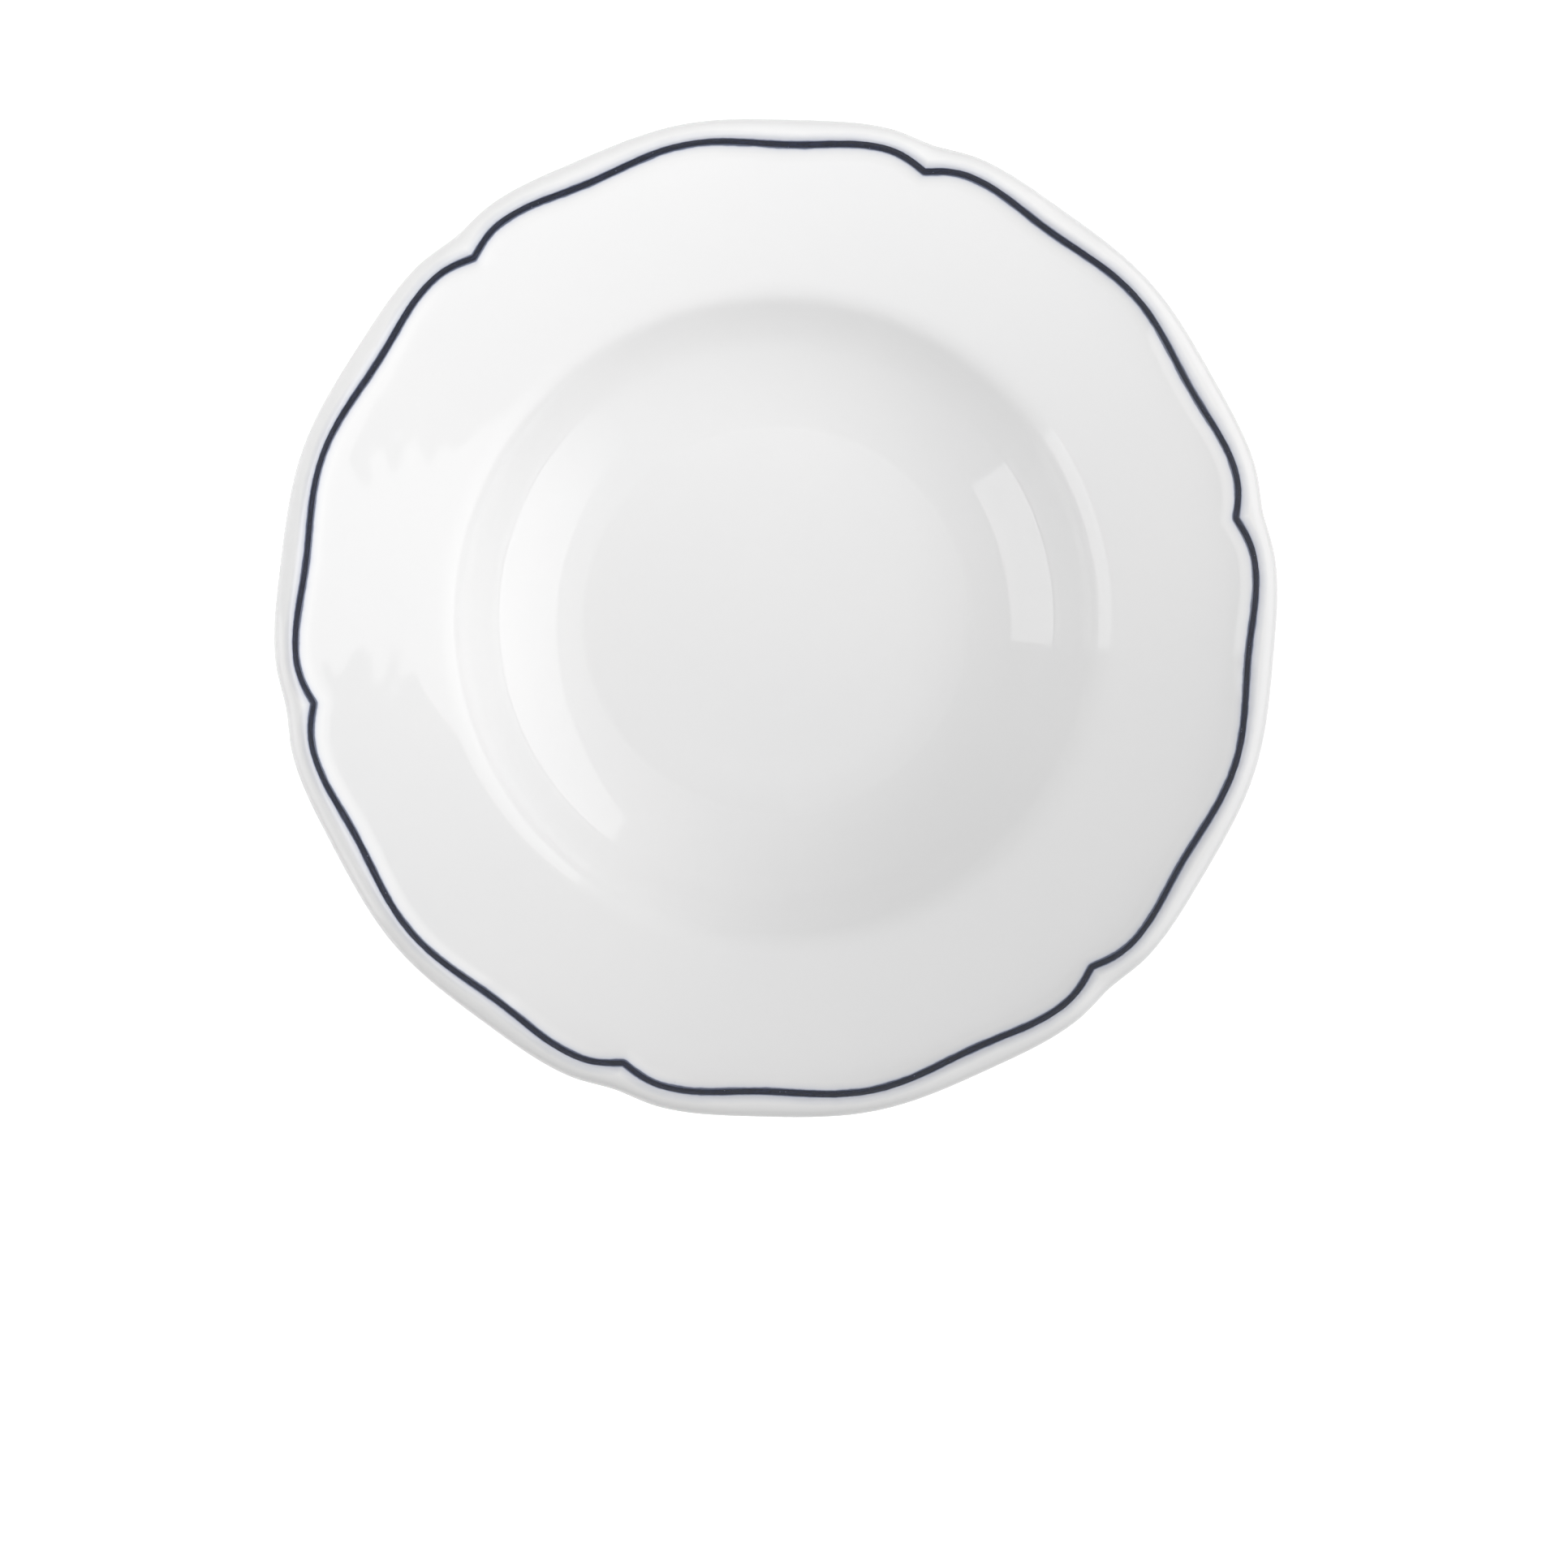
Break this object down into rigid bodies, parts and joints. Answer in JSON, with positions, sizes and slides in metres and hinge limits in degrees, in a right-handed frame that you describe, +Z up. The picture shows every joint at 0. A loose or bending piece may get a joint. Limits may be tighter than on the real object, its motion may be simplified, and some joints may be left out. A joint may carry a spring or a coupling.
{
  "type": "rimmed soup plate",
  "caption": "Rimmed soup plate in glazed white porcelain, with a deep well, a wide sloped rim, a softly scalloped lip, a painted navy line along the lip and a bare foot ring.",
  "frame": {"origin": "middle of the foot ring's standing plane, on the plate's axis", "axes": "+Z up out of the well, along the plate's axis; one notch of the lip lies on -Y, in the middle of the side that faces the viewer"},
  "size_m": [0.23, 0.229, 0.047],
  "materials": {
    "porcelain": "bare fired clay, matte, seen only on the standing edge of the foot",
    "glaze": "clear gloss glaze over white clay",
    "navy_line": "gloss ceramic colour, brushed on and fired into the glaze"
  },
  "bodies": {
    "root": {"porcelain_body": "porcelain", "outer_glaze": "glaze", "base_glaze": "glaze", "rim_line": "navy_line"}
  },
  "joints": []
}
